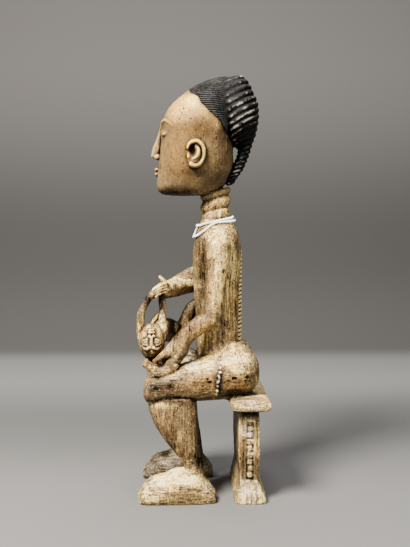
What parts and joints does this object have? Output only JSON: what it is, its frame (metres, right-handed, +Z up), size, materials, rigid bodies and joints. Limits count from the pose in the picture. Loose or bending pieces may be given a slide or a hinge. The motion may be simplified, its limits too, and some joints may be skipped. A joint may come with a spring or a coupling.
{
  "type": "carved wooden maternity figure on a stool",
  "caption": "Seated woman in carved wood with an infant across her lap, on a low stool, wearing white bead strands. Stands on its own feet and stool.",
  "frame": {"origin": "on the floor, under the middle of the figure's outline", "axes": "+Z up, the woman faces -Y, her left hand side is +X"},
  "size_m": [0.134, 0.1372, 0.4378],
  "materials": {
    "carved_wood": "aged hand-carved wood, waxed and handled, tan with brown shading in the hollows, pale worn crests, blackened hair",
    "white_beads": "small opaque white glass beads, softly glossy, threaded closely"
  },
  "bodies": {
    "root": {"carved_figure": "carved_wood", "upper_bead_strand": "white_beads", "lower_bead_strand": "white_beads"}
  },
  "joints": []
}
